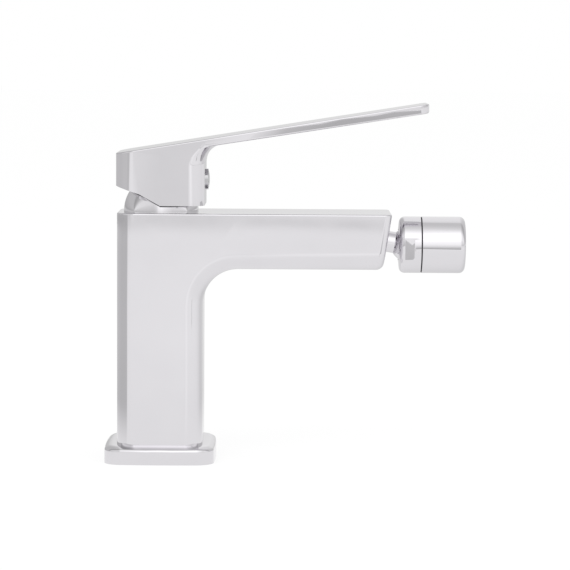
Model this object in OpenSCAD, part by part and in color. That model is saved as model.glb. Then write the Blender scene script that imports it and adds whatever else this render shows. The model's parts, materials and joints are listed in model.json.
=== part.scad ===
// Single-lever bidet mixer with a swivelling ball-joint nozzle.
// Millimetres, +Z up. The origin is the middle of the base plate's underside, and the spout points along +X.

/* [Base plate] */
// Width of the square base plate
plate_w = 49.4; // [46:0.1:56]
// Radius of the base plate's corners, seen from above
plate_corner_r = 8; // [6:0.5:14]
// Radius of the slight outward bow of the base plate's sides
plate_bow_r = 300; // [100:10:400]
// Height of the base plate's edge
plate_edge_h = 7.2; // [5:0.1:8]
// Rise of the base plate's crown from its edge to the column's foot
plate_crown_h = 0.9; // [0.5:0.1:3]
// Radius of the base plate's upper edge
plate_edge_r = 1.6; // [0.6:0.1:2]
// Depth of the gasket groove under the base plate
gasket_t = 1.8; // [1:0.1:2.5]
// Width of the gasket ring under the base plate
gasket_w = 3; // [2:0.1:3.6]

/* [Column and spout] */
// Width of the square column, and of the spout that runs on from it
body_w = 38; // [37:0.5:42]
// Radius of the column's upright edges and the spout's lower edges
body_corner_r = 8; // [5:0.25:9]
// Radius of the edges round the top face
body_top_r = 0.7; // [0.5:0.1:3]
// Height of the top face above the surface that the mixer stands on
body_top_z = 110.4; // [105:0.2:130]
// Height of the spout's section
spout_h = 24.8; // [24:0.2:30]
// Distance from the column's axis to the middle of the spout's end face
spout_reach = 100; // [90:1:140]
// Radius of the inner bend between column and spout
elbow_r = 15.5; // [10:0.5:17]
// Radius of the upright and lower edges round the spout's end face
spout_end_r = 3; // [2:0.25:5]
// Downward tilt of the outlet and the spout's end face
outlet_tilt = 9; // [4:0.5:12]
// Wall round the waterway in the spout
spout_wall = 2.8; // [2.4:0.1:3.6]
// Diameter of the hollow in the column for the hoses
column_bore_d = 30; // [28:0.5:31]
// Wall of the spigot that centres the column in the base plate
spigot_wall = 1.4; // [1:0.1:2]
// Length of that spigot
spigot_l = 3.5; // [2:0.1:4]
// Thickness of the solid core under the cartridge seat
core_t = 20; // [18:0.5:30]

/* [Connections] */
// Tapping bore of the two inlets for M10 x 1 hose tails
inlet_bore_d = 9; // [8.5:0.1:9.5]
// Distance between the two inlets
inlet_pitch = 15; // [14.5:0.1:16]
// Distance of the inlets behind the column's axis
inlet_back = 5; // [4:0.1:6]
// Tapping bore for the M8 fixing stud
stud_bore_d = 6.8; // [6:0.1:7]
// Distance of the stud in front of the column's axis
stud_front = 8.5; // [8:0.1:10]
// Depth of the tapped inlets
inlet_depth = 14; // [10:0.5:15]
// Depth of the tapped hole for the stud
stud_depth = 12; // [8:0.5:15]

/* [Cartridge] */
// Outer diameter of the ceramic cartridge
cartridge_d = 24.8; // [24.4:0.1:25.2]
// Wall of the cartridge housing
housing_wall = 1.8; // [1.6:0.1:2]
// Thickness of each ceramic disc
disc_t = 3; // [2.5:0.1:3.5]
// Height of the cartridge base with the ports
base_h = 7; // [6.5:0.1:8]
// Radius of the water ports
port_r = 2.4; // [2:0.1:2.6]
// Angle of each inlet port off the straight line to the rear
port_angle = 48; // [46:1:50]
// Distance of the outlet port in front of the axis
port_front = 5; // [4.6:0.1:5.4]
// Height of the driver that slides the moving disc
driver_h = 6.5; // [6:0.1:8]
// Distance from the lift pivot down to the middle of the drive finger
finger_drop = 11; // [10:0.1:12]
// Radius of the drive finger's ball end
finger_r = 2; // [1.6:0.1:2.2]
// Angle through which the stem tilts from shut to fully open
lift_angle = 25; // [20:1:26]
// Width of the stem's square end
stem_w = 7; // [6:0.1:7.5]
// Diameter of the stem's pivot pin
pin_d = 2.5; // [2:0.1:3]
// Diameter of the retaining nut's thread
nut_d = 28; // [27.8:0.1:28.8]
// Width across the retaining nut's flats
nut_flats = 23; // [21:0.1:23.4]

/* [Dome] */
// Radius of the dome under the handle, about the lift pivot
dome_r = 16.6; // [16.2:0.1:17]
// Wall of the dome
dome_wall = 1.4; // [1.2:0.1:1.6]
// Diameter of the hole in the top of the dome
dome_hole_d = 26.8; // [26.4:0.1:27.4]

/* [Handle] */
// Width of the handle's block
handle_w = 38; // [37.5:0.5:42]
// Length of the block behind the pivot
block_back = 19.4; // [19:0.1:22]
// Length of the block in front of the pivot
block_front = 19.7; // [19:0.1:22]
// Gap between the body's top face and the block's underside
block_gap = 3.3; // [2.5:0.1:5]
// Height of the handle's top over the pivot
handle_h = 29.4; // [28:0.2:34]
// Upward slope of the lever
lever_rise = 9.2; // [6:0.2:12]
// Distance from the pivot to the lever's tip
lever_reach = 118; // [100:1:130]
// Thickness of the lever at its root
lever_t = 3.5; // [3:0.1:5]
// Thickness of the lever at its tip
tip_t = 4.2; // [3:0.1:5]
// Width of the lever at its tip
tip_w = 29; // [24:0.5:36]
// Radius of the tip's corners, seen from above
tip_corner_r = 4; // [3:0.25:6]
// Radius of the block's rear upright edges
block_rear_r = 8; // [5:0.5:9]
// Radius of the block's front upright edges
block_front_r = 7; // [4:0.5:9]
// Radius of the handle's upper edges
handle_edge_r = 0.6; // [0.5:0.1:1.2]
// Radius of the cove under the root of the lever
cove_r = 7.5; // [5:0.5:10]
// Slope of the cut under the rear of the block that lets the handle tilt back
relief_angle = 29; // [27:0.5:32]
// Slope of that cut near the rear face
relief_rear_angle = 18; // [16:0.5:24]
// Height of the grub screw and its plug above the pivot
screw_h = 14.3; // [14:0.1:16]
// Diameter of the grub screw
screw_d = 5; // [4:0.5:5]
// Diameter of the index plug's head
plug_d = 9.2; // [9:0.1:11]
// Height of the index plug's head above the block's face
plug_h = 1.8; // [1.4:0.1:2.4]
// Height of the straight rim round that head
plug_rim_h = 1.2; // [0.6:0.1:1.3]

/* [Nozzle] */
// Outer diameter of the nozzle
nozzle_d = 25.1; // [24.9:0.1:27]
// Length of the swivel collar that holds the ball
collar_l = 10.1; // [9.4:0.1:11]
// Distance from the collar's rear rim to the middle of the ball
collar_back = 4.1; // [4:0.1:4.6]
// Slope of the collar's conical rear face
collar_cone = 6; // [2:1:20]
// Radius of the edge round that face
collar_edge_r = 2.4; // [1:0.1:2.6]
// Length of the sleeve in front of the collar
sleeve_l = 19.4; // [18:0.2:26]
// Diameter of the ball
ball_d = 15; // [14.8:0.1:15.2]
// Diameter of the neck between spout and ball
neck_d = 9.4; // [8.6:0.1:9.6]
// Distance from the spout's end face to the middle of the ball
ball_reach = 9.7; // [9.5:0.1:13]
// Diameter of the nipple's thread in the spout
nipple_d = 14.9; // [13.5:0.1:15.5]
// Diameter of the waterway through the nipple
nipple_bore_d = 6; // [5:0.1:6.5]
// Width across the wrench flats on the collar
collar_flats = 23.3; // [22.8:0.1:24]
// Distance from the collar's rear rim to the wrench flats
flats_back = 2.6; // [1.5:0.1:3]
// Length of the wrench flats
flats_l = 4.3; // [3:0.1:4.4]
// Turn of the wrench flats about the nozzle's axis
flats_turn = 6; // [0:1:30]
// Radius of the edge at the nozzle's mouth
mouth_r = 2.5; // [1:0.1:3]
// Thickness of each of the two ball seats
seat_t = 0.85; // [0.7:0.05:0.9]

/* [Fits] */
// Gap round pieces that are screwed or pressed together
fit_gap = 0.05; // [0.03:0.01:0.08]
// Gap round pieces that turn or slide on each other
run_gap = 0.25; // [0.2:0.01:0.3]

/* [Hidden] */
$fn = 64;

// Thickness and taper of the levels that a rounded block is stretched over, and an overlap for cuts
level_t = 0.3;
level_taper = 0.9;
cut = 1;
// Half the side of a square that holds any turned profile
turned_reach = 200;
// Straight pieces in a quarter turn of a large edge and of a small one
arc_steps = 12;
edge_steps = 5;

// Column and spout
half_w = body_w / 2;
foot_z = plate_edge_h + plate_crown_h;
spout_z = body_top_z - spout_h;
spout_mid_z = body_top_z - spout_h / 2;
elbow_x = half_w + elbow_r;
elbow_z = spout_z - elbow_r;
column_bore_r = column_bore_d / 2;
spigot_r = column_bore_r + spigot_wall;
outlet_drop = 0.5;
outlet_z = spout_mid_z - outlet_drop;
end_half_l = 6;
end_wall = 10;
channel_from = 9;
duct_angle = 25;
duct_r = 3.6;
outlet_bore_l = 6;
gasket_land = 1.2;
gasket_r = spigot_r + gasket_land;

// Cartridge, stacked down and up from the lift pivot
pivot_z = body_top_z;
cartridge_r = cartridge_d / 2;
chamber_r = cartridge_r - housing_wall;
finger_z = pivot_z - finger_drop;
finger_cover = 0.1;
driver_top_z = finger_z + finger_r + finger_cover;
driver_z = driver_top_z - driver_h;
fixed_top_z = driver_z - disc_t;
base_top_z = fixed_top_z - disc_t;
seat_z = base_top_z - base_h;
base_rim_h = 2;
side_port_step = 0.4;
side_port_r = port_r - side_port_step;
side_port_z = seat_z + base_rim_h + port_r + side_port_step / 2;
flange_z = driver_top_z + run_gap;
flange_t = 2.7;
shoulder_t = 1.7;
shoulder_z = flange_z + flange_t + run_gap + shoulder_t;
neck_h = 5;
neck_top_z = pivot_z + neck_h;
neck_wall = 1.6;
carrier_neck_r = 6.9;
housing_neck_r = carrier_neck_r + run_gap + neck_wall;
bore_r = cartridge_r + 4 * fit_gap;
core_z = seat_z - core_t;
finger_travel = finger_drop * sin(lift_angle);
disc_x = -finger_travel / 2;
disc_r = chamber_r + disc_x - run_gap;
disc_gap = fit_gap;
slide_room = 0.75;
rail_w = 2;
rail_l = 12;
rail_y = sqrt(pow(chamber_r - slide_room, 2) - pow(rail_l / 2, 2)) - rail_w;
driver_w = 2 * (rail_y - run_gap);
driver_l = 2 * (sqrt(pow(chamber_r - slide_room, 2) - pow(driver_w / 2, 2)) + disc_x);
slot_back = 6;
slot_front = 6.2;
seal_w = 1.1;
port_rim = 0.37;
inlet_port_r = chamber_r - port_rim - seal_w - port_r;
inlet_seal_h = 1.4;
disc_seal_h = 1.2;
ring_groove_z = driver_z + 1;
ring_h = 1.8;
ring_depth = 1.2;
stem_eye_r = 3.4;
stem_eye_w = 5.8;
stem_neck_r = 2.7;
stem_arm_r = 1.3;
stem_top_h = 23.6;

// Retaining nut and dome
nut_r = nut_d / 2;
nut_skirt_l = 6.5;
nut_collar_step = 0.6;
nut_collar_r = nut_r + nut_collar_step;
nut_collar_h = 2.4;
nut_hex_h = 3;
nut_lift = 0.2;
dome_hole_r = dome_hole_d / 2;

// Handle
half_handle = handle_w / 2;
block_z = body_top_z + block_gap;
handle_top_z = pivot_z + handle_h;
dome_gap = 0.8;
cavity_r = dome_r + dome_gap;
boss_r = 7;
boss_h = 11;
stem_square_step = 0.4;
stem_square_h = boss_h + stem_square_step;
half_tip = tip_w / 2;
side_steps = 8;
side_bow = 1.5;
block_sunk = 0.1;
lever_under_r = 0.8;
relief_x = 0.3;
relief_knee = 9.2;
plug_shank_r = 3.9;
plug_shank_l = 5;
screw_l = 8;

// Nozzle, measured along its own axis from the middle of the ball
ball_r = ball_d / 2;
nozzle_r = nozzle_d / 2;
ball_centre = [
    spout_reach + ball_reach * cos(outlet_tilt),
    0,
    outlet_z - ball_reach * sin(outlet_tilt),
];
seam_l = collar_l - collar_back;
mouth_l = seam_l + sleeve_l;
seat_r = ball_r + run_gap;
seal_r = seat_r + seat_t + run_gap;
socket_r = seal_r + seat_t + run_gap;
seat_from = 44;
seat_to = 82;
lip_l = 1.6;
socket_from = 0.9;
flats_wall = 0.5;
flats_from = flats_back - collar_back;
spigot_from = flats_from + flats_l + flats_wall;
collar_wall = 1.3;
collar_thread_r = nozzle_r - collar_wall;
collar_grip = 0.5;
collar_hole_r = ball_r - collar_grip;
collar_rim_w = 0.4;
seam_v = 0.35;
throat_r = 6.4;
aerator_l = 9;
sleeve_wall = 2.2;
aerator_bore_r = nozzle_r - sleeve_wall;
aerator_gasket_t = 1.4;
aerator_wall = 1.75;
aerator_r = aerator_bore_r - fit_gap;
aerator_core_r = aerator_r - aerator_wall - fit_gap;
aerator_from = aerator_l + aerator_gasket_t;
mouth_recess = 1;
aerator_to = mouth_l - mouth_recess;
aerator_lip_t = 0.8;
aerator_lip_w = 0.7;
jet_plate_t = 2.5;
jet_r = 0.8;
screen_t = 0.5;
screen_pitch = 2.2;
screen_rim = 1;
spacer_wall = 1.2;
grid_t = 2;
grid_cell = 2.7;
grid_share = 0.48;
grid_from = aerator_to - aerator_lip_t - grid_t;
screen_from = aerator_from + jet_plate_t;
spacer_from = screen_from + screen_t;
nipple_r = nipple_d / 2;
nipple_sink = 0.5;
ball_face = 1.2;
key_w = 8;
key_depth = 5;
outlet_seal_t = 1.5;
outlet_seal_step = 1.4;
gasket_step = 0.4;

// How far a rounded edge stands back from one face, at a depth below the other
function edge_inset(r, depth) = depth < r ? r - sqrt(r * r - pow(r - depth, 2)) : 0;

// Points along an arc, from one angle to another
function arc(centre, r, from, to, steps = arc_steps) =
    [for (i = [0:steps]) let (a = from + (to - from) * i / steps) centre + r * [cos(a), sin(a)]];

// Outlines of the rounded blocks, each pulled in by an inset
// The plate's four bowed sides are arcs about far centres, and its corner arcs run tangent into them
bow_x = plate_w / 2 - plate_bow_r;
plate_corner_x = (bow_x + sqrt(2 * pow(plate_bow_r - plate_corner_r, 2) - bow_x * bow_x)) / 2;
bow_angle = atan2(plate_corner_x, plate_corner_x - bow_x);
bow_share = 0.7;
function plate_plan(inset) = [for (a = [0:90:270]) each concat(
    arc(bow_x * [cos(a), sin(a)], plate_bow_r - inset,
        a - bow_share * bow_angle, a + bow_share * bow_angle, 4),
    arc(plate_corner_x * [cos(a) - sin(a), sin(a) + cos(a)], plate_corner_r - inset,
        a + bow_angle, a + 90 - bow_angle))];

function column_plan(inset) = concat(
    arc([half_w - body_corner_r, half_w - body_corner_r], body_corner_r - inset, 0, 90),
    arc([-half_w + body_corner_r, half_w - body_corner_r], body_corner_r - inset, 90, 180),
    arc([-half_w + body_corner_r, -half_w + body_corner_r], body_corner_r - inset, 180, 270),
    arc([half_w - body_corner_r, -half_w + body_corner_r], body_corner_r - inset, 270, 360));

function head_plan(inset) = concat(
    [[elbow_x, inset - half_w], [elbow_x, half_w - inset]],
    arc([-half_w + body_corner_r, half_w - body_corner_r], body_corner_r - inset, 90, 180),
    arc([-half_w + body_corner_r, -half_w + body_corner_r], body_corner_r - inset, 180, 270));

function spout_end_plan(side_inset, end_inset) =
    let (r = spout_end_r - end_inset, x = end_half_l - spout_end_r, y = half_w - side_inset - r) concat(
        [[-end_half_l, half_w - side_inset], [-end_half_l, side_inset - half_w]],
        arc([x, -y], r, 270, 360), arc([x, y], r, 0, 90));

function spout_section() = concat(
    arc([half_w - body_corner_r, -spout_h / 2 + body_corner_r], body_corner_r, 270, 360),
    arc([half_w - body_top_r, spout_h / 2 - body_top_r], body_top_r, 0, 90, edge_steps),
    arc([-half_w + body_top_r, spout_h / 2 - body_top_r], body_top_r, 90, 180, edge_steps),
    arc([-half_w + body_corner_r, -spout_h / 2 + body_corner_r], body_corner_r, 180, 270));

// The waterway's section, which keeps the wall all round the spout's lower edges
function channel_section() = let (
    x = half_w - body_corner_r, low = -spout_h / 2 + body_corner_r, r = body_corner_r - spout_wall,
    side = half_w - spout_wall, high = spout_h / 2 - spout_wall
) concat(
    arc([x, low], r, 270, 360, edge_steps), [[side, high], [-side, high]],
    arc([-x, low], r, 180, 270, edge_steps));

// Rear corner of the handle's block and of the plate on top of it, on one side, as the outline runs
function rear_corner(side, inset) = let (from = side > 0 ? 90 : 180)
    arc([block_rear_r - block_back, side * (half_handle - block_rear_r)],
        block_rear_r - inset, from, from + 90);

// The handle's block, with its front moved out
function block_plan(out) = let (x = block_front + out - block_front_r, y = half_handle - block_front_r)
    concat(
        arc([x, y], block_front_r, 0, 90), rear_corner(1, 0),
        rear_corner(-1, 0), arc([x, -y], block_front_r, 270, 360));

// Half the lever's width, which narrows in a shallow bow from the block to the tip
lever_root = block_front + cove_r - block_front_r;
function lever_half(x) = let (share = max(x - lever_root, 0) / (lever_reach - lever_root))
    half_handle - (half_handle - half_tip) * pow(share, side_bow);
side_l = lever_reach - tip_corner_r - lever_root;
lever_xs = [for (i = [0:side_steps - 1]) lever_root + side_l * i / side_steps];
tip_y = lever_half(lever_reach - tip_corner_r) - tip_corner_r;
lever_taper = (tip_t - lever_t) / (lever_reach - lever_root);
function lever_plan(inset) = concat(
    rear_corner(-1, inset),
    [for (x = lever_xs) [x, inset - lever_half(x)]],
    arc([lever_reach - tip_corner_r, -tip_y], tip_corner_r - inset, 270, 360),
    arc([lever_reach - tip_corner_r, tip_y], tip_corner_r - inset, 0, 90),
    [for (i = [side_steps - 1:-1:0]) [lever_xs[i], lever_half(lever_xs[i]) - inset]],
    rear_corner(1, inset));

// A level of a rounded block. It tapers away from the outline, so that the outline alone shapes the block
module level() linear_extrude(level_t, scale = level_taper) children();
module level_above(z) translate([0, 0, z]) level() children();
module level_below(z) translate([0, 0, z]) mirror([0, 0, 1]) level() children();

// A solid with flat ends, stretched over rings of points from the bottom up, each with as many points
module loft(rings) {
    n = len(rings[0]);
    last = len(rings) - 1;
    polyhedron([for (ring = rings) each ring], concat(
        [[for (j = [0:n - 1]) j]],
        [for (k = [0:last - 1], j = [0:n - 1]) let (next = (j + 1) % n)
            [k * n + j, (k + 1) * n + j, (k + 1) * n + next, k * n + next]],
        [[for (j = [n - 1:-1:0]) last * n + j]]));
}

// Frames: the handle's sloping top, the lever's underside, the pivot, the nipple's and the nozzle's axis
module sloped(slope, z)
    multmatrix([[1, 0, 0, 0], [0, 1, 0, 0], [slope, 0, 1, z], [0, 0, 0, 1]]) children();
module on_slope() sloped(tan(lever_rise), handle_top_z) children();
module on_underside()
    sloped(tan(lever_rise) - lever_taper, handle_top_z - lever_t + lever_taper * lever_root) children();
module at_pivot() translate([0, 0, pivot_z]) children();
module along_nipple() translate(ball_centre) rotate([0, 90 + outlet_tilt, 0]) children();
module along_nozzle() translate(ball_centre) rotate([0, 90, 0]) children();

// A flat ring
module ring(r_out, r_in, h) difference() {
    cylinder(r = r_out, h = h);
    translate([0, 0, -cut]) cylinder(r = r_in, h = h + 2 * cut);
}

// A revolved piece from a profile drawn in radius and height, of which only the right half counts
module turned() rotate_extrude() intersection() {
    translate([0, -turned_reach]) square(2 * turned_reach);
    children();
}

// A square-section block, centred in plan
module post(w, d, h) translate([-w / 2, -d / 2, 0]) cube([w, d, h]);

module base_plate() color("gainsboro") difference() {
    hull() {
        level_above(0) polygon(plate_plan(0));
        for (i = [0:edge_steps]) let (a = 90 * i / edge_steps)
            level_below(plate_edge_h - plate_edge_r * (1 - sin(a)))
                polygon(plate_plan(plate_edge_r * (1 - cos(a))));
        crown_inset = min((plate_w - body_w) / 2, plate_corner_r) - plate_edge_r;
        for (i = [1:edge_steps]) let (a = 90 * i / edge_steps)
            level_below(plate_edge_h + plate_crown_h * sin(a))
                polygon(plate_plan(plate_edge_r + crown_inset * (1 - cos(a))));
    }
    translate([0, 0, -cut]) cylinder(r = spigot_r + fit_gap, h = foot_z + 2 * cut);
    gasket_space(cut);
}

// The gasket's room in the plate's underside, let down by an amount
module gasket_space(down) translate([0, 0, -down]) ring(gasket_r + gasket_w, gasket_r, gasket_t + down);

module base_gasket() color("dimgray") gasket_space(0);

module column() translate([0, 0, foot_z]) linear_extrude(elbow_z - foot_z) polygon(column_plan(0));

// The column's head, up to where the spout runs on
module head() difference() {
    hull() {
        level_above(elbow_z) polygon(head_plan(0));
        for (i = [0:edge_steps]) let (a = 90 * i / edge_steps)
            level_below(body_top_z - body_top_r * (1 - sin(a)))
                polygon(head_plan(body_top_r * (1 - cos(a))));
    }
    translate([elbow_x, half_w + cut, elbow_z]) rotate([90, 0, 0])
        cylinder(r = elbow_r + body_corner_r, h = body_w + 2 * cut);
}

// The rounded inner bend under the spout
module elbow() translate([elbow_x, 0, elbow_z]) rotate([90, 0, 0]) rotate(90) rotate_extrude(angle = 90)
    polygon(concat(
        arc([elbow_r + body_corner_r, half_w - body_corner_r], body_corner_r, 90, 180),
        arc([elbow_r + body_corner_r, -half_w + body_corner_r], body_corner_r, 180, 270)));

// The spout, from the bend to its leaning end face
module spout() hull() {
    translate([elbow_x, 0, spout_mid_z]) rotate([90, 0, 90]) level() polygon(spout_section());
    lean = tan(outlet_tilt);
    end_x = spout_reach - end_half_l - outlet_z * lean;
    multmatrix([[1, 0, lean, end_x], [0, 1, 0, 0], [0, 0, 1, 0], [0, 0, 0, 1]]) {
        for (i = [0:arc_steps]) let (depth = body_corner_r * (1 - cos(90 * i / arc_steps)))
            level_above(spout_z + depth)
                polygon(spout_end_plan(edge_inset(body_corner_r, depth), edge_inset(spout_end_r, depth)));
        for (i = [0:edge_steps]) let (a = 90 * i / edge_steps, inset = body_top_r * (1 - cos(a)))
            level_below(body_top_z - body_top_r * (1 - sin(a))) polygon(spout_end_plan(inset, inset));
    }
}

module spigot() translate([0, 0, foot_z - spigot_l]) cylinder(r = spigot_r, h = spigot_l + cut);

// Waterway along the spout, and the duct that rises into it from the cartridge
module spout_waterway() {
    channel_x = bore_r + channel_from;
    translate([channel_x, 0, spout_mid_z]) rotate([90, 0, 90])
        linear_extrude(spout_reach - end_wall - channel_x) polygon(channel_section());
    translate([bore_r, 0, side_port_z]) rotate([0, 90 - duct_angle, 0])
        translate([0, 0, -duct_r]) cylinder(r = duct_r, h = channel_x - bore_r + 3 * duct_r);
}

module inlet_positions() for (side = [-1, 1]) translate([-inlet_back, side * inlet_pitch / 2, 0]) children();
module port_positions() for (side = [-1, 1])
    translate(inlet_port_r * [-cos(port_angle), side * sin(port_angle), 0]) children();

module body_casting() color("gainsboro") difference() {
    union() {
        column();
        head();
        elbow();
        spout();
        spigot();
    }
    translate([0, 0, foot_z - spigot_l - cut])
        cylinder(r = column_bore_r, h = core_z - foot_z + spigot_l + cut);
    translate([0, 0, seat_z]) cylinder(r = bore_r, h = body_top_z - seat_z + cut);
    translate([0, 0, shoulder_z - nut_skirt_l - cut])
        cylinder(r = nut_r + fit_gap, h = body_top_z - shoulder_z + nut_skirt_l + 2 * cut);
    inlet_positions() translate([0, 0, core_z - cut]) cylinder(d = inlet_bore_d, h = inlet_depth + cut);
    port_positions() translate([0, 0, core_z + inlet_depth - cut]) cylinder(r = port_r, h = core_t);
    translate([stud_front, 0, core_z - cut]) cylinder(d = stud_bore_d, h = stud_depth + cut);
    spout_waterway();
    along_nipple() translate([0, 0, -ball_reach]) {
        translate([0, 0, -end_wall - outlet_seal_t])
            cylinder(r = nipple_r + fit_gap, h = end_wall + outlet_seal_t + 4 * cut);
        translate([0, 0, -end_wall - outlet_bore_l])
            cylinder(r = nipple_bore_d / 2 + outlet_seal_step, h = end_wall + outlet_bore_l);
    }
}

module cartridge_base() color("darkslategray") difference() {
    union() {
        translate([0, 0, seat_z]) cylinder(r = cartridge_r, h = base_rim_h);
        translate([0, 0, seat_z]) cylinder(r = chamber_r - 2 * fit_gap, h = base_h);
    }
    port_positions() translate([0, 0, seat_z - cut]) cylinder(r = port_r, h = base_h + 2 * cut);
    translate([port_front, 0, side_port_z - port_r]) cylinder(r = port_r, h = base_h);
    translate([port_front, 0, side_port_z]) rotate([0, 90, 0]) cylinder(r = side_port_r, h = cartridge_r);
    inlet_seal_spaces(fit_gap, cut);
    disc_seal_spaces(fit_gap, cut);
}

// Rooms for the seals under and over the cartridge base, widened by a gap
module inlet_seal_spaces(gap, over) port_positions() translate([0, 0, seat_z - over])
    cylinder(r = port_r + seal_w + gap, h = inlet_seal_h + over);
module disc_seal_spaces(gap, over) {
    port_positions() translate([0, 0, base_top_z - disc_seal_h])
        cylinder(r = port_r + seal_w + gap, h = disc_seal_h + over);
    translate([port_front, 0, base_top_z - disc_seal_h])
        cylinder(r = port_r + seal_w + gap, h = disc_seal_h + over);
}

module inlet_seals() color("dimgray") difference() {
    inlet_seal_spaces(0, 0);
    port_positions() translate([0, 0, seat_z - cut]) cylinder(r = port_r, h = base_h);
}

module disc_seals() color("dimgray") difference() {
    disc_seal_spaces(0, 0);
    ports_through(base_top_z - disc_seal_h - cut, base_h);
}

// The two inlet ports and the outlet port, cut through from a height
module ports_through(z, h) {
    port_positions() translate([0, 0, z]) cylinder(r = port_r, h = h);
    translate([port_front, 0, z]) cylinder(r = port_r, h = h);
}

module fixed_disc() color("whitesmoke") difference() {
    translate([0, 0, base_top_z]) cylinder(r = chamber_r - 4 * fit_gap, h = disc_t);
    ports_through(base_top_z - cut, disc_t + 2 * cut);
}

module cartridge_housing() color("lightgray") difference() {
    turned() difference() {
        union() {
            translate([0, seat_z + base_rim_h]) square([cartridge_r, shoulder_z - seat_z - base_rim_h]);
            translate([0, shoulder_z - cut]) square([housing_neck_r, neck_top_z - shoulder_z + cut]);
        }
        translate([-cut, seat_z]) square([chamber_r + cut, shoulder_z - shoulder_t - seat_z]);
        translate([-cut, shoulder_z - 2 * shoulder_t]) square([carrier_neck_r + run_gap + cut, neck_top_z]);
        translate([cartridge_r - ring_depth, ring_groove_z]) square([ring_depth + cut, ring_h + 2 * fit_gap]);
    }
    translate([0, 0, side_port_z]) rotate([0, 90, 0]) cylinder(r = side_port_r, h = cartridge_r + cut);
}

module housing_seal() color("dimgray") translate([0, 0, ring_groove_z + fit_gap])
    ring(bore_r - fit_gap, cartridge_r - ring_depth + fit_gap, ring_h);

module retaining_nut() color("goldenrod") difference() {
    union() {
        translate([0, 0, shoulder_z - nut_skirt_l])
            cylinder(r = nut_r, h = body_top_z + nut_lift - shoulder_z + nut_skirt_l);
        translate([0, 0, body_top_z + nut_lift]) {
            cylinder(r = nut_collar_r, h = nut_collar_h);
            cylinder(d = nut_flats / cos(30), h = nut_collar_h + nut_hex_h, $fn = 6);
        }
    }
    translate([0, 0, shoulder_z - nut_skirt_l - cut])
        cylinder(r = cartridge_r + 2 * fit_gap, h = nut_skirt_l + cut);
    translate([0, 0, shoulder_z - cut]) cylinder(r = housing_neck_r + 4 * fit_gap, h = pivot_z);
}

module dome_cover() color("gainsboro") at_pivot() turned() difference() {
    intersection() {
        circle(dome_r);
        square(2 * dome_r);
    }
    difference() {
        circle(dome_r - dome_wall);
        translate([nut_collar_r + fit_gap, 0]) square([dome_r, nut_lift + nut_collar_h]);
    }
    translate([-cut, nut_collar_h]) square([dome_hole_r + cut, dome_r]);
}

module ball_nipple() color("gainsboro") along_nipple() difference() {
    union() {
        sphere(ball_r);
        translate([0, 0, -ball_reach - nipple_sink - cut])
            cylinder(d = neck_d, h = ball_reach + nipple_sink + cut);
        translate([0, 0, -ball_reach - end_wall]) cylinder(r = nipple_r, h = end_wall - nipple_sink);
    }
    translate([0, 0, -ball_reach - end_wall - cut])
        cylinder(d = nipple_bore_d, h = ball_reach + end_wall + 2 * ball_r);
    translate([0, 0, ball_r - ball_face]) cylinder(r = ball_r, h = ball_r);
    translate([0, 0, ball_r - key_depth]) cylinder(d = key_w / cos(30), h = ball_r, $fn = 6);
}

module outlet_seal() color("dimgray") along_nipple() translate([0, 0, -ball_reach - end_wall - outlet_seal_t])
    ring(nipple_r, nipple_bore_d / 2 + outlet_seal_step, outlet_seal_t);

module stem_carrier() color("lightgray") difference() {
    union() {
        translate([0, 0, flange_z]) cylinder(r = chamber_r - run_gap, h = flange_t);
        translate([0, 0, flange_z]) cylinder(r = carrier_neck_r, h = neck_top_z - flange_z - run_gap);
        for (side = [-1, 1]) translate([0, side * (rail_y + rail_w / 2), driver_z + driver_h / 2])
            post(rail_l, rail_w, driver_h / 2 + 2 * run_gap);
    }
    translate([-slot_back, -stem_eye_w / 2 - run_gap, flange_z - cut])
        cube([slot_back + slot_front, stem_eye_w + 2 * run_gap, neck_top_z - flange_z + 2 * cut]);
    pin_shape(fit_gap, 2 * cut);
}

// The pivot pin, widened by a gap and lengthened
module pin_shape(gap, longer) at_pivot() rotate([90, 0, 0])
    cylinder(r = pin_d / 2 + gap, h = 2 * carrier_neck_r - cut + longer, center = true);

module stem_pin() color("silver") pin_shape(0, 0);

module stem() color("silver") difference() {
    at_pivot() {
        rotate([90, 0, 0]) cylinder(r = stem_eye_r, h = stem_eye_w, center = true);
        cylinder(r = stem_neck_r, h = stem_square_h + cut);
        translate([0, 0, stem_square_h]) post(stem_w, stem_w, stem_top_h - stem_square_h);
        translate([0, 0, -finger_drop]) cylinder(r = stem_arm_r, h = finger_drop);
        translate([0, 0, -finger_drop]) sphere(finger_r);
    }
    pin_shape(fit_gap, 2 * cut);
}

// The block of the handle, under the sloping plate. Its front leads in a cove to the lever's underside
function slope_ring(z, out) =
    [for (p = block_plan(out)) [p.x, p.y, handle_top_z + p.x * tan(lever_rise) + z]];
module handle_block() loft(concat(
    [[for (p = block_plan(0)) [p.x, p.y, block_z]]],
    [for (i = [0:arc_steps - 1]) let (a = 90 * i / arc_steps)
        slope_ring(-lever_t - cove_r * (1 - sin(a)), cove_r * (1 - cos(a)))],
    [slope_ring(-handle_edge_r - block_sunk, cove_r)]));

// The sloping plate over the block, which runs out into the lever and thickens to its tip
module lever() hull() for (i = [0:edge_steps]) let (a = 90 * i / edge_steps) {
    on_slope() level_below(-handle_edge_r * (1 - sin(a))) polygon(lever_plan(handle_edge_r * (1 - cos(a))));
    on_underside() level_above(lever_under_r * (1 - cos(a)))
        polygon(lever_plan(lever_under_r * (1 - sin(a))));
}

// The cut under the rear of the block, in two slopes
module rear_relief() {
    knee_x = relief_x - relief_knee;
    knee_z = block_z + relief_knee * tan(relief_angle);
    end_x = -block_back - cut;
    end_z = knee_z + (knee_x - end_x) * tan(relief_rear_angle);
    translate([0, half_handle + cut, 0]) rotate([90, 0, 0]) linear_extrude(handle_w + 2 * cut)
        polygon([
            [relief_x, block_z - cut], [relief_x, block_z], [knee_x, knee_z],
            [end_x, end_z], [end_x, block_z - cut],
        ]);
}

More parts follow.
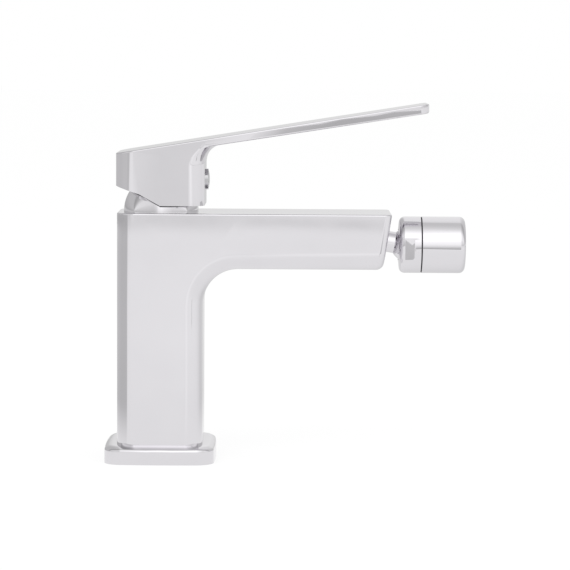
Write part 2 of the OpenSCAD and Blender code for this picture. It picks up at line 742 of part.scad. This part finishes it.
module handle() color("gainsboro") difference() {
    union() {
        difference() {
            union() {
                handle_block();
                lever();
            }
            rear_relief();
            at_pivot() sphere(cavity_r);
        }
        at_pivot() translate([0, 0, boss_h]) cylinder(r = boss_r, h = cavity_r - boss_h + cut);
    }
    socket_w = stem_w + 2 * fit_gap;
    at_pivot() translate([0, 0, boss_h - cut])
        post(socket_w, socket_w, stem_top_h - boss_h + cut + fit_gap);
    along_screw() {
        cylinder(r = screw_d / 2 + fit_gap, h = block_front + cut);
        translate([0, 0, block_front - plug_shank_l - cut])
            cylinder(r = plug_shank_r + fit_gap, h = plug_shank_l + 2 * cut);
    }
}

// The grub screw's axis, from the stem to the block's front
module along_screw() at_pivot() translate([0, 0, screw_h]) rotate([0, 90, 0]) children();

module handle_screw() color("dimgray") along_screw() difference() {
    translate([0, 0, stem_w / 2]) cylinder(d = screw_d, h = screw_l);
    translate([0, 0, stem_w / 2 + screw_l / 2]) cylinder(d = screw_d / 2 / cos(30), h = screw_l, $fn = 6);
}

module index_plug() color("silver") along_screw() translate([0, 0, block_front]) {
    translate([0, 0, -plug_shank_l]) cylinder(r = plug_shank_r, h = plug_shank_l + plug_rim_h / 2);
    plug_cap_h = plug_h - plug_rim_h;
    plug_dome_r = (pow(plug_d / 2, 2) + plug_cap_h * plug_cap_h) / 2 / plug_cap_h;
    intersection() {
        translate([0, 0, plug_h - plug_dome_r]) sphere(plug_dome_r);
        cylinder(d = plug_d, h = 2 * plug_h);
    }
}

module disc_driver() color("whitesmoke") difference() {
    union() {
        translate([disc_x, 0, driver_z]) cylinder(r = disc_r, h = driver_h / 2 - run_gap);
        translate([disc_x, 0, driver_z]) post(driver_l, driver_w, driver_h);
    }
    translate([0, 0, finger_z - finger_r - run_gap]) cylinder(r = finger_r + run_gap, h = driver_h);
}

module moving_disc() color("whitesmoke") difference() {
    translate([disc_x, 0, fixed_top_z + disc_gap]) cylinder(r = disc_r, h = disc_t - disc_gap);
    translate([disc_x, 0, fixed_top_z - cut]) {
        for (side = [-1, 1]) translate([0, side * port_r, 0]) cylinder(r = port_r, h = cut + disc_t * 2 / 3);
        post(2 * port_r, 2 * port_r, cut + disc_t * 2 / 3);
    }
}

// One of the two nested seats of the ball, a zone of a hollow sphere
module seat_zone(r) along_nozzle() turned() intersection() {
    difference() {
        circle(r + seat_t);
        circle(r);
    }
    reach = 3 * ball_r;
    polygon([
        [0, 0], reach * [sin(seat_from), cos(seat_from)],
        reach * [1, 1], reach * [sin(seat_to), cos(seat_to)],
    ]);
}

module ball_seat() color("whitesmoke") seat_zone(seat_r);
module ball_seal() color("dimgray") seat_zone(seal_r);

// Profile of a turned cylinder with one rounded outer corner, at its top
module round_bar(r, h, corner_r) {
    square([r - corner_r, h]);
    square([r, h - corner_r]);
    translate([r - corner_r, h - corner_r]) circle(corner_r);
}

// The fine groove where collar and sleeve meet, half in each
module seam_groove() translate([nozzle_r, seam_l]) rotate(45) square(seam_v * sqrt(2), center = true);

// Half the collar's profile, with an edge that runs tangent into the conical rear face
module collar_profile() {
    rim_r = collar_hole_r + collar_rim_w;
    edge_x = nozzle_r - collar_edge_r;
    cone_l = edge_x + collar_edge_r * sin(collar_cone) - rim_r;
    edge_z = cone_l * tan(collar_cone) + collar_edge_r * cos(collar_cone) - collar_back;
    polygon(concat(
        [[0, seam_l], [0, -collar_back], [rim_r, -collar_back]],
        arc([edge_x, edge_z], collar_edge_r, collar_cone - 90, 0, edge_steps),
        [[nozzle_r, seam_l]]));
}

module swivel_collar() color("gainsboro") along_nozzle() difference() {
    turned() difference() {
        collar_profile();
        translate([0, -collar_back - cut]) square([collar_hole_r, collar_back + cut]);
        intersection() {
            circle(seat_r);
            translate([0, -collar_back]) square([ball_d, collar_back - lip_l]);
        }
        intersection() {
            circle(seal_r);
            translate([0, -lip_l]) square([ball_d, collar_l]);
        }
        intersection() {
            circle(socket_r);
            translate([0, socket_from]) square([ball_d, collar_l]);
        }
        translate([0, spigot_from - fit_gap]) square([collar_thread_r + fit_gap, collar_l]);
        seam_groove();
    }
    rotate(flats_turn) for (side = [-1, 1])
        translate([0, side * (collar_flats + nozzle_r) / 2, flats_from]) post(nozzle_d, nozzle_r, flats_l);
}

module nozzle_sleeve() color("gainsboro") along_nozzle() turned() difference() {
    union() {
        translate([0, spigot_from]) square([collar_thread_r, seam_l]);
        translate([0, seam_l]) round_bar(nozzle_r, sleeve_l, mouth_r);
    }
    circle(socket_r);
    translate([-cut, 0]) square([throat_r + cut, mouth_l]);
    translate([-cut, aerator_l]) square([aerator_bore_r + cut, mouth_l]);
    seam_groove();
}

module aerator_gasket() color("dimgray") along_nozzle() translate([0, 0, aerator_l])
    ring(aerator_r, throat_r + gasket_step, aerator_gasket_t);

module aerator_housing() color("silver") along_nozzle() turned() difference() {
    translate([0, aerator_from]) square([aerator_r, aerator_to - aerator_from]);
    translate([-cut, aerator_from - cut])
        square([aerator_r - aerator_wall + cut, aerator_to - aerator_from - aerator_lip_t + cut]);
    translate([-cut, aerator_from - cut]) square([aerator_core_r - aerator_lip_w + cut, mouth_l]);
}

module aerator_jet_plate() color("whitesmoke") along_nozzle() difference() {
    translate([0, 0, aerator_from]) cylinder(r = aerator_core_r, h = jet_plate_t);
    for (a = [0:30:330]) rotate(a) translate([throat_r * 0.75, 0, aerator_from - cut])
        cylinder(r = jet_r, h = jet_plate_t + 2 * cut);
}

// A woven disc: crossed wires in a rim
module aerator_screen() color("silver") along_nozzle() translate([0, 0, screen_from]) {
    wire_r = aerator_core_r - screen_rim / 2;
    ring(aerator_core_r, aerator_core_r - screen_rim, screen_t);
    for (turn = [0, 90], y = screen_pitch * [-3, -2, -1, 0, 1, 2, 3]) rotate(turn) translate([0, y, 0])
        post(2 * sqrt(wire_r * wire_r - pow(abs(y) + screen_t / 2, 2)), screen_t, screen_t);
}

module aerator_spacer() color("whitesmoke") along_nozzle() translate([0, 0, spacer_from])
    ring(aerator_core_r, aerator_core_r - spacer_wall, grid_from - spacer_from);

// The honeycomb that straightens the stream
module aerator_grid() color("whitesmoke") along_nozzle() difference() {
    translate([0, 0, grid_from]) cylinder(r = aerator_core_r, h = grid_t);
    rows = 3;
    for (row = [-rows:rows], col = [-rows:rows])
        let (x = (col + row / 2) * grid_cell, y = row * grid_cell * sin(60))
            if (norm([x, y]) < aerator_core_r - grid_cell / 2) translate([x, y, grid_from - cut])
                cylinder(r = grid_cell * grid_share, h = grid_t + 2 * cut, $fn = 6);
}

base_plate();
base_gasket();
body_casting();
cartridge_base();
inlet_seals();
disc_seals();
fixed_disc();
cartridge_housing();
housing_seal();
retaining_nut();
dome_cover();
ball_nipple();
outlet_seal();
stem_carrier();
stem_pin();
stem();
handle();
handle_screw();
index_plug();
disc_driver();
moving_disc();
ball_seat();
ball_seal();
swivel_collar();
nozzle_sleeve();
aerator_gasket();
aerator_housing();
aerator_jet_plate();
aerator_screen();
aerator_spacer();
aerator_grid();
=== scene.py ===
"""Looks of the bidet mixer: chrome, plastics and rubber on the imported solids, with camera, floor and
studio light. Lengths are in metres and angles in degrees."""
import json
import math

import bpy
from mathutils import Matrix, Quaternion, Vector

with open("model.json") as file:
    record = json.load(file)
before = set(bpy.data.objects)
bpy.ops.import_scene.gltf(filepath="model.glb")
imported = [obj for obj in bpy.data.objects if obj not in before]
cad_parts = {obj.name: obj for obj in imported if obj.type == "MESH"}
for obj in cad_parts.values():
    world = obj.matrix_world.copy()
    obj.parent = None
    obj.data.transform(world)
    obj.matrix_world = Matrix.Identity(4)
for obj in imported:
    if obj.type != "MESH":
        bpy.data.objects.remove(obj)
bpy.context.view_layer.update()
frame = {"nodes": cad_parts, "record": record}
NODES = frame["nodes"]

# The photograph's view
CAMERA_EYE = (0.0552, -1.1296, 0.1844)
CAMERA_TARGET = (0.0552, 0.0, 0.0776)
CAMERA_ROLL = 0.35
CAMERA_CLIP = (0.05, 50.0)
SENSOR_MM = 36.0
LENS_MM = 160.7

# Lamps for the matt pieces and the shadow, which mirrors don't see: place, width and watts
LAMP_TARGET = (0.04, 0.0, 0.08)
LAMPS = {
    "key": ((-0.5, -0.9, 1.3), 0.9, 6.0),
    "fill": ((0.9, -0.6, 1.0), 0.8, 3.0),
}

# Enough bounces for the corners where mirrors face each other
GLOSSY_BOUNCES = 12

# What the metal mirrors. The studio's brightness by angle over the front horizon, up to the ceiling and
# down to the back
STUDIO_HEIGHT = [
    (-180, 0.82), (-1, 0.95), (0, 0.98), (4, 1.09), (8, 1.16), (14, 1.22), (20, 1.32), (26, 1.42),
    (44, 1.42), (55, 1.22), (64, 1.0), (73, 0.83), (84, 0.72), (93, 0.67), (104, 0.67), (109, 0.84),
    (115, 0.9), (125, 0.94), (160, 0.93), (172, 0.84), (175, 0.83), (177.5, 0.75), (180, 0.71),
]
# Share of it towards the sides, by the sideways part of the direction
STUDIO_SIDES = [
    (-1.0, 0.66), (-0.35, 0.62), (-0.2, 0.72), (-0.1, 0.97), (0.0, 1.0), (0.06, 1.03), (0.2, 0.93),
    (0.35, 0.86), (0.6, 0.74), (1.0, 0.72),
]
# Brightness of the floor by distance, and the share of it by direction from the front
FLOOR_FALL = [
    (0.0, 0.93), (0.2, 0.95), (0.5, 0.985), (0.95, 0.985), (1.15, 0.96), (1.28, 0.985), (1.41, 1.02),
    (1.455, 1.0), (1.49, 0.9), (1.53, 0.78), (1.56, 0.735), (1.59, 0.735), (1.62, 0.76), (1.68, 0.81),
    (1.8, 0.8),
]
FLOOR_REACH = 6.0
FLOOR_AROUND = [
    (-180, 0.8), (-130, 0.64), (-111, 0.63), (-91, 0.605), (-50, 0.61), (-45, 0.97), (-20, 1.0),
    (-3, 1.0), (0, 1.01), (5, 0.99), (7, 1.0), (10, 1.07), (16, 1.06), (24, 1.0), (62, 0.99),
    (78, 0.975), (95, 0.905), (115, 0.78), (180, 0.8),
]
# A further share of the floor far off, which the handle's block mirrors
FAR_AROUND = [
    (-180, 1.0), (-120, 1.25), (-60, 1.36), (-50, 1.33), (-45, 0.83), (-31, 0.78), (-26, 1.2),
    (-10, 1.24), (-4.9, 1.2), (-3.5, 1.06), (-2.1, 1.0), (-0.7, 1.08), (0.7, 1.18), (2.1, 1.24),
    (9, 1.24), (16, 1.29), (23, 1.27), (30, 1.19), (78, 1.2), (98, 1.29), (124, 1.5), (180, 1.0),
]
# Distances over which the two shares set in
NEAR_FROM = [(0.06, 0.0), (0.2, 1.0)]
FAR_FROM = [(1.7, 0.0), (1.85, 1.0)]
# Dark cards before the nozzle: from left to right, and brightness by height. They hang in one upright plane
FLAG_AHEAD = 0.1125
FLAGS = {
    "flag_line": (
        (0.1178, 0.16),
        [(0.07, 0.54), (0.0745, 0.53), (0.0804, 0.66), (0.0884, 0.84), (0.0905, 0.93), (0.0965, 0.985)],
    ),
    "flag_wrench": ((0.11, 0.1178), [(0.045, 0.6), (0.075, 0.66)]),
}
# A dark level shelf before the lever: the point that it fans out from, how far ahead of that point it
# begins and ends, and its brightness by direction from the point
SHELF_POINT = (0.0065, 0.515, 0.134)
SHELF_AHEAD = (0.58, 1.6)
SHELF_AROUND = [(3.4, 0.93), (4.2, 0.8), (5.0, 0.63), (7.3, 0.54), (10.0, 0.57), (13.0, 0.58)]

# The floor as the camera sees it: half its width, its grain, and the share of plain white over its shadow
FLOOR_HALF = 9.0
FLOOR_GRAIN = 30.0
FLOOR_SHADES = (0.96, 0.98)
FLOOR_WHITE = 0.88
WHITE = (1.0, 1.0, 1.0, 1.0)

# Edges that turn by more than this stay sharp, and points nearer than this are joined
SHARP_ANGLE = 28.0
JOIN_DISTANCE = 1e-6

# Noise values between which a surface goes from its first colour or roughness to its second
COLOUR_DRIFT = (0.3, 0.7)
POLISH_DRIFT = (0.25, 0.75)
DRIFT_DETAIL = 3.0
BUMP_DEPTH = 0.0002
BUMP_PER_GRAIN = 6

# Painted shade, dark and rough: in the handle's hollow and on its rim, within a ball about the lift's
# pivot, and in the fine groove at the collar's front end
PIVOT = next(
    tuple(joint["pos_m"])
    for joint in frame["record"]["behaviour"]["joints"]
    if joint["name"] == "handle_lift"
)
HOLLOW_RADIUS = 0.0192
SEAM_X = max(v.co.x for v in NODES["swivel_collar"].data.vertices)
SEAM_HALF_WIDTH = 0.00026
PAINTED_SHADE_COLOURS = ((0.03, 0.03, 0.032), (0.05, 0.05, 0.053))
PAINTED_SHADE_ROUGHNESS = (0.6, 0.6, 0.6, 1.0)

CHROME = ((0.755, 0.742, 0.768), (0.77, 0.757, 0.782))
BRIGHT = (CHROME, (0.03, 0.05), {"metallic": 1.0, "grain": 90, "bump": 0.004, "bump_grain": 140})
# Each surface: its two colours, its two values of roughness, and its other settings. The grain is in waves
# per metre, and the bump is a strength
LOOKS = {
    "chrome": (CHROME, (0.045, 0.075), {"metallic": 1.0, "grain": 60, "bump": 0.006, "bump_grain": 90}),
    "chromed_brass": BRIGHT,
    "handle_chrome": BRIGHT,
    "nozzle_chrome": BRIGHT,
    "plug_chrome": (
        ((0.5, 0.5, 0.51), (0.56, 0.56, 0.57)),
        (0.08, 0.14),
        {"metallic": 1.0, "grain": 300, "bump": 0.02, "bump_grain": 600},
    ),
    "brass": (
        ((0.72, 0.56, 0.28), (0.8, 0.65, 0.37)),
        (0.2, 0.32),
        {"metallic": 1.0, "grain": 500, "bump": 0.05, "stretch": (1, 1, 6)},
    ),
    "steel": (
        ((0.56, 0.56, 0.57), (0.66, 0.66, 0.67)),
        (0.22, 0.36),
        {"metallic": 1.0, "grain": 700, "bump": 0.08, "stretch": (1, 1, 0.1)},
    ),
    "ceramic": (
        ((0.9, 0.89, 0.87), (0.94, 0.93, 0.91)),
        (0.18, 0.26),
        {"grain": 300, "bump": 0.02},
    ),
    "dark_plastic": (
        ((0.08, 0.088, 0.095), (0.11, 0.12, 0.13)),
        (0.42, 0.55),
        {"grain": 500, "bump": 0.15},
    ),
    "grey_plastic": (
        ((0.5, 0.51, 0.52), (0.57, 0.58, 0.59)),
        (0.3, 0.42),
        {"grain": 500, "bump": 0.08},
    ),
    "white_plastic": (
        ((0.85, 0.85, 0.83), (0.91, 0.91, 0.89)),
        (0.32, 0.42),
        {"grain": 500, "bump": 0.08},
    ),
    "rubber": (
        ((0.022, 0.022, 0.023), (0.045, 0.045, 0.047)),
        (0.6, 0.8),
        {"grain": 800, "bump": 0.35},
    ),
}
# Nodes with a surface of their own, where the others take the one of their slot
OWN_LOOK = {"handle": "handle_chrome", "swivel_collar": "nozzle_chrome", "nozzle_sleeve": "nozzle_chrome"}


def socket(node, name):
    """The node's input of that name that is in use."""
    return next(s for s in node.inputs if s.name == name and s.enabled)


class Tree:
    """A small helper that adds nodes to a node tree and links them."""

    def __init__(self, tree):
        self.tree = tree
        tree.nodes.clear()

    def add(self, kind, inputs=None, **settings):
        """A new node. An input that is given a socket is linked to it, and any other is set."""
        node = self.tree.nodes.new(kind)
        for key, value in settings.items():
            setattr(node, key, value)
        for key, value in (inputs or {}).items():
            target = node.inputs[key] if isinstance(key, int) else socket(node, key)
            if isinstance(value, bpy.types.NodeSocket):
                self.tree.links.new(value, target)
            else:
                target.default_value = value
        return node

    def math(self, operation, a, b=0.0):
        return self.add("ShaderNodeMath", {0: a, 1: b}, operation=operation).outputs[0]

    def ramp(self, factor, stops, low=0.0, high=1.0):
        """A grey or coloured ramp over stops of (position, value), whose positions run from low to high."""
        spread = self.add("ShaderNodeMapRange", {"Value": factor, "From Min": low, "From Max": high})
        node = self.add("ShaderNodeValToRGB", {"Fac": spread.outputs["Result"]})
        elements = node.color_ramp.elements
        while len(elements) > 1:
            elements.remove(elements[-1])
        for i, (position, value) in enumerate(stops):
            place = (position - low) / (high - low)
            element = elements[0] if i == 0 else elements.new(place)
            element.position = place
            colour = value if isinstance(value, tuple) else (value, value, value)
            element.color = (*colour, 1.0)
        return node.outputs["Color"]

    def mix(self, factor, a, b, blend_type="MIX"):
        inputs = {"Factor": factor, "A": a, "B": b}
        return self.add("ShaderNodeMix", inputs, data_type="RGBA", blend_type=blend_type).outputs["Result"]

    def place(self, kind="Object"):
        """The point in the piece's own coordinates, or the direction in the world for kind Generated."""
        return self.add("ShaderNodeTexCoord").outputs[kind]

    def parts(self, vector):
        """The outputs X, Y and Z of a vector."""
        return self.add("ShaderNodeSeparateXYZ", {0: vector}).outputs

    def from_front(self, part, parts):
        """The angle in degrees from the front towards a part of the direction."""
        ahead = self.math("MULTIPLY", parts["Y"], -1.0)
        return self.math("MULTIPLY", self.math("ARCTAN2", parts[part], ahead), math.degrees(1))

    def mirrored(self, path):
        """One for a ray that has left a mirror or passed through a clear piece."""
        return self.math("MAXIMUM", path.outputs["Is Glossy Ray"], path.outputs["Is Transmission Ray"])

    def noise(self, scale, detail=2.0, stretch=None):
        """A noise over the piece's own coordinates, in waves per metre, which may be stretched by axis."""
        place = self.place()
        if stretch:
            scaled = self.add("ShaderNodeVectorMath", {0: place, 1: stretch}, operation="MULTIPLY")
            place = scaled.outputs[0]
        inputs = {"Vector": place, "Scale": scale, "Detail": detail}
        return self.add("ShaderNodeTexNoise", inputs).outputs["Fac"]

    def glow(self, colour):
        return self.add("ShaderNodeEmission", {"Color": colour, "Strength": 1.0}).outputs[0]

    def blend(self, factor, a, b):
        """A blend of two shaders."""
        return self.add("ShaderNodeMixShader", {0: factor, 1: a, 2: b}).outputs[0]

    def finish(self, shader):
        self.add("ShaderNodeOutputMaterial", {"Surface": shader})


def new_material(name):
    material = bpy.data.materials.new(name)
    material.use_nodes = True
    return material, Tree(material.node_tree)


def inside_handle(t):
    """One in the handle's hollow and on the rim round it, where the surface gets painted shade."""
    inputs = {0: t.place(), 1: PIVOT}
    away = t.add("ShaderNodeVectorMath", inputs, operation="DISTANCE").outputs["Value"]
    return t.math("LESS_THAN", away, HOLLOW_RADIUS)


def in_seam(t):
    """One in the fine groove between the nozzle's collar and its sleeve, where the surface gets painted
    shade.
    """
    along = t.parts(t.place())["X"]
    away = t.math("ABSOLUTE", t.math("SUBTRACT", along, SEAM_X))
    return t.math("LESS_THAN", away, SEAM_HALF_WIDTH)


# Where a surface gets painted shade, dark and rough
PAINTED_SHADE_PLACES = {"handle_chrome": inside_handle, "nozzle_chrome": in_seam}


def surface(name, colours, roughness, grain, bump, metallic=0.0, bump_grain=None, stretch=None):
    """A material whose colour and roughness drift between two values over a noise, with a fine bump."""
    material, t = new_material(name)
    drift = t.noise(grain, DRIFT_DETAIL, stretch)
    relief = t.noise(bump_grain or grain * BUMP_PER_GRAIN, stretch=stretch)
    bumps = t.add("ShaderNodeBump", {"Height": relief, "Strength": bump, "Distance": BUMP_DEPTH})
    colour = t.ramp(drift, zip(COLOUR_DRIFT, colours))
    polish = t.ramp(drift, zip(POLISH_DRIFT, roughness))
    # Painted shade: dark, rough patches in the handle's hollow and in the nozzle's seam
    if name in PAINTED_SHADE_PLACES:
        painted_shade = PAINTED_SHADE_PLACES[name](t)
        colour = t.mix(painted_shade, colour, t.ramp(drift, zip(COLOUR_DRIFT, PAINTED_SHADE_COLOURS)))
        polish = t.mix(painted_shade, polish, PAINTED_SHADE_ROUGHNESS)
    shader = t.add(
        "ShaderNodeBsdfPrincipled",
        {
            "Base Color": colour,
            "Roughness": polish,
            "Metallic": metallic,
            "Normal": bumps.outputs["Normal"],
        },
    )
    t.finish(shader.outputs["BSDF"])
    return material


def smoothing_group():
    """Geometry nodes that join a solid's patches and shade smooth every edge that turns by less than the
    sharp angle."""
    group = bpy.data.node_groups.new("cad_smooth", "GeometryNodeTree")
    group.interface.new_socket("Geometry", in_out="INPUT", socket_type="NodeSocketGeometry")
    group.interface.new_socket("Geometry", in_out="OUTPUT", socket_type="NodeSocketGeometry")
    t = Tree(group)
    source = t.add("NodeGroupInput")
    joined = t.add(
        "GeometryNodeMergeByDistance",
        {"Geometry": source.outputs[0], "Distance": JOIN_DISTANCE},
    )
    angle = t.add("GeometryNodeInputMeshEdgeAngle")
    sharp = t.add(
        "FunctionNodeCompare",
        {0: angle.outputs["Unsigned Angle"], 1: math.radians(SHARP_ANGLE)},
        data_type="FLOAT",
        operation="GREATER_THAN",
    )
    normals = t.add(
        "GeometryNodeSetMeshNormal",
        {
            "Mesh": joined.outputs["Geometry"],
            "Remove Custom": True,
            "Edge Sharpness": sharp.outputs["Result"],
            "Face Sharpness": False,
        },
        mode="SHARPNESS",
    )
    t.add("NodeGroupOutput", {0: normals.outputs["Mesh"]})
    return group


def dress(part, materials, smooth):
    """Gives a node its surface and its smooth shading."""
    node = NODES[part["node"]]
    node.data.materials.clear()
    node.data.materials.append(materials[OWN_LOOK.get(part["node"], part["material_slot"])])
    node.modifiers.new("smooth", "NODES").node_group = smooth
    weighted = node.modifiers.new("weighted", "WEIGHTED_NORMAL")
    weighted.mode = "FACE_AREA"
    weighted.keep_sharp = True


def build_camera():
    """The photograph's view: a long lens from the side, a little above, with a slight roll."""
    data = bpy.data.cameras.new("camera")
    data.sensor_width = SENSOR_MM
    data.lens = LENS_MM
    data.clip_start, data.clip_end = CAMERA_CLIP
    camera = bpy.data.objects.new("camera", data)
    aim = (Vector(CAMERA_TARGET) - Vector(CAMERA_EYE)).to_track_quat("-Z", "Y")
    camera.rotation_mode = "QUATERNION"
    camera.rotation_quaternion = aim @ Quaternion((0, 0, 1), math.radians(CAMERA_ROLL))
    camera.location = CAMERA_EYE
    bpy.context.scene.collection.objects.link(camera)
    bpy.context.scene.camera = camera


def build_world():
    """White for the camera and for soft light. The metal sees a soft box in front and a grey ceiling."""
    world = bpy.data.worlds.new("studio")
    bpy.context.scene.world = world
    world.use_nodes = True
    t = Tree(world.node_tree)
    path = t.add("ShaderNodeLightPath")
    way = t.parts(t.place("Generated"))
    height = t.ramp(t.from_front("Z", way), STUDIO_HEIGHT, -180.0, 180.0)
    sides = t.ramp(way["X"], STUDIO_SIDES, -1.0, 1.0)
    shown = t.mix(1.0, height, sides, "MULTIPLY")
    plain = t.mix(t.mirrored(path), WHITE, shown)
    colour = t.mix(path.outputs["Is Camera Ray"], plain, WHITE)
    back = t.add("ShaderNodeBackground", {"Color": colour, "Strength": 1.0})
    t.add("ShaderNodeOutputWorld", {"Surface": back.outputs[0]})


def new_sheet(name, corners):
    """A sheet with four corners, and the tree of its material."""
    mesh = bpy.data.meshes.new(name)
    mesh.from_pydata(corners, [], [(0, 1, 2, 3)])
    sheet = bpy.data.objects.new(name, mesh)
    bpy.context.scene.collection.objects.link(sheet)
    material, t = new_material(name)
    mesh.materials.append(material)
    return sheet, t


def show_to_mirrors_only(sheet):
    sheet.visible_camera = False
    sheet.visible_diffuse = False
    sheet.visible_shadow = False


def build_floor():
    """A plain white floor. The metal sees it graded by distance and direction, and darkest to the left."""
    half = FLOOR_HALF
    floor, t = new_sheet("floor", [(-half, -half, 0), (half, -half, 0), (half, half, 0), (-half, half, 0)])
    path = t.add("ShaderNodeLightPath")
    place = t.place()
    away = t.add("ShaderNodeVectorMath", {0: place}, operation="LENGTH").outputs["Value"]
    bearing = t.from_front("X", t.parts(place))
    shown = t.ramp(away, FLOOR_FALL, 0.0, FLOOR_REACH)
    for start, around in ((NEAR_FROM, FLOOR_AROUND), (FAR_FROM, FAR_AROUND)):
        share = t.ramp(bearing, around, -180.0, 180.0)
        begun = t.ramp(away, start, 0.0, FLOOR_REACH)
        shown = t.mix(begun, shown, t.mix(1.0, shown, share, "MULTIPLY"))
    grain = t.ramp(t.noise(FLOOR_GRAIN), zip(COLOUR_DRIFT, FLOOR_SHADES))
    matte = t.add("ShaderNodeBsdfDiffuse", {"Color": grain}).outputs[0]
    for_camera = t.blend(FLOOR_WHITE, matte, t.glow(WHITE))
    for_metal = t.blend(t.mirrored(path), matte, t.glow(shown))
    t.finish(t.blend(path.outputs["Is Camera Ray"], for_metal, for_camera))


def build_flag(name, across, height):
    """A small dark card that only mirrors see. It darkens a line or the wrench flat on the nozzle."""
    left, right = across
    low = height[0][0]
    high = height[-1][0]
    outline = ((left, low), (right, low), (right, high), (left, high))
    flag, t = new_sheet(name, [(x, -FLAG_AHEAD, z) for x, z in outline])
    show_to_mirrors_only(flag)
    t.finish(t.glow(t.ramp(t.parts(t.place())["Z"], height, low, high)))


def build_shelf():
    """A dark shelf that the lever mirrors. Rays from below pass through it."""
    first = SHELF_AROUND[0][0]
    last = SHELF_AROUND[-1][0]
    near, far = SHELF_AHEAD
    outline = ((first, near), (first, far), (last, far), (last, near))
    corners = [(math.tan(math.radians(angle)) * ahead, -ahead, 0) for angle, ahead in outline]
    shelf, t = new_sheet("shelf", corners)
    shelf.location = SHELF_POINT
    show_to_mirrors_only(shelf)
    bearing = t.from_front("X", t.parts(t.place()))
    dark = t.glow(t.ramp(bearing, SHELF_AROUND, first, last))
    clear = t.add("ShaderNodeBsdfTransparent").outputs[0]
    from_below = t.add("ShaderNodeNewGeometry").outputs["Backfacing"]
    t.finish(t.blend(from_below, dark, clear))


def add_lamp(name, place, width, watts):
    """A round soft lamp that mirrors don't see."""
    data = bpy.data.lights.new(name, "AREA")
    data.shape = "DISK"
    data.size = width
    data.energy = watts
    lamp = bpy.data.objects.new(name, data)
    lamp.location = place
    lamp.rotation_euler = (Vector(LAMP_TARGET) - Vector(place)).to_track_quat("-Z", "Y").to_euler()
    lamp.visible_glossy = False
    bpy.context.scene.collection.objects.link(lamp)


surfaces = {
    name: surface(name, colours, roughness, **settings)
    for name, (colours, roughness, settings) in LOOKS.items()
}
smooth_group = smoothing_group()
for subpart in frame["record"]["subparts"]:
    dress(subpart, surfaces, smooth_group)

build_camera()
build_world()
build_floor()
for flag_name, (flag_across, flag_height) in FLAGS.items():
    build_flag(flag_name, flag_across, flag_height)
build_shelf()
for lamp_name, (lamp_place, lamp_width, lamp_watts) in LAMPS.items():
    add_lamp(lamp_name, lamp_place, lamp_width, lamp_watts)
bpy.context.scene.view_settings.view_transform = "Standard"
bpy.context.scene.cycles.glossy_bounces = GLOSSY_BOUNCES
